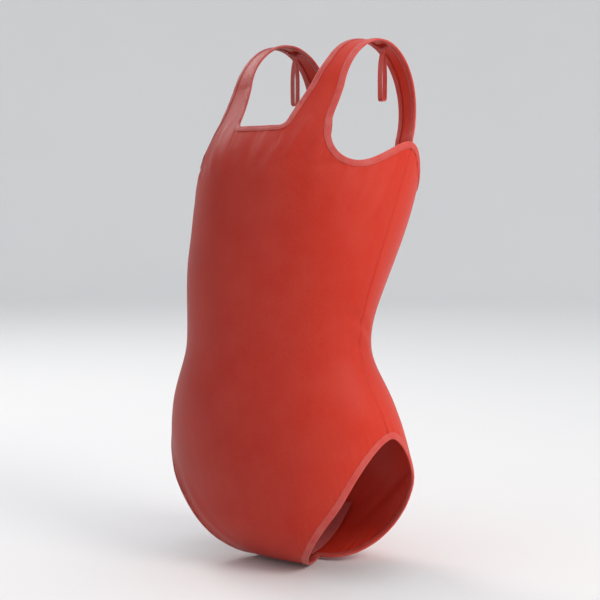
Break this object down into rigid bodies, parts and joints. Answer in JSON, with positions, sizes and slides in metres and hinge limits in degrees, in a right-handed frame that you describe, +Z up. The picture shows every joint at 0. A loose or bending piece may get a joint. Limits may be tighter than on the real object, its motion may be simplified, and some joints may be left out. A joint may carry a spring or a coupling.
{
  "type": "gymnastics leotard",
  "caption": "Sleeveless gymnastics leotard with a square neckline, tapering tank straps, scooped armholes, bound edges and cut leg openings, in its worn shape.",
  "frame": {"origin": "centre of the wearer's waist, inside the leotard at its narrowest level", "axes": "+Z up towards the shoulders, -Y out of the front, +X to the wearer's left"},
  "size_m": [0.3024, 0.2416, 0.5826],
  "materials": {
    "shell_knit": "smooth, slightly shiny stretch knit, dark red running to orange red",
    "lining_mesh": "matt power mesh",
    "edge_binding": "folded knit, a little paler than the shell",
    "elastic": "matt",
    "seam_thread": "overlocked thread",
    "loop_ribbon": "satin ribbon",
    "label_satin": "satin, blank"
  },
  "bodies": {
    "garment": {"front_panel": "shell_knit", "back_panel": "shell_knit", "bust_lining": "lining_mesh", "gusset_lining": "lining_mesh", "neck_binding": "edge_binding", "left_armhole_binding": "edge_binding", "right_armhole_binding": "edge_binding", "left_leg_binding": "edge_binding", "right_leg_binding": "edge_binding", "neck_elastic": "elastic", "left_armhole_elastic": "elastic", "right_armhole_elastic": "elastic", "left_leg_elastic": "elastic", "right_leg_elastic": "elastic", "left_side_seam": "seam_thread", "right_side_seam": "seam_thread", "left_shoulder_seam": "seam_thread", "right_shoulder_seam": "seam_thread", "crotch_seam": "seam_thread", "left_bar_tack": "seam_thread", "right_bar_tack": "seam_thread"},
    "left_loop": {"left_hanger_loop": "loop_ribbon"},
    "right_loop": {"right_hanger_loop": "loop_ribbon"},
    "neck_label": {"size_label": "label_satin"},
    "side_label": {"care_label": "label_satin"}
  },
  "joints": [
    {"name": "left_loop_swing", "type": "hinge", "parent": "garment", "child": "left_loop", "pos_m": [0.064, 0.10804, 0.32591], "axis": [1, 0, 0], "range_deg": [-40, 40]},
    {"name": "right_loop_swing", "type": "hinge", "parent": "garment", "child": "right_loop", "pos_m": [-0.064, 0.10804, 0.32591], "axis": [1, 0, 0], "range_deg": [-40, 40]},
    {"name": "size_label_flap", "type": "hinge", "parent": "garment", "child": "neck_label", "pos_m": [0, 0.10951, 0.07945], "axis": [-1, 0, 0], "range_deg": [0, 75]},
    {"name": "care_label_flap", "type": "hinge", "parent": "garment", "child": "side_label", "pos_m": [0.12631, 0.00134, -0.03485], "axis": [-0.4205, -0.0679, 0.9047], "range_deg": [-60, 60]}
  ]
}
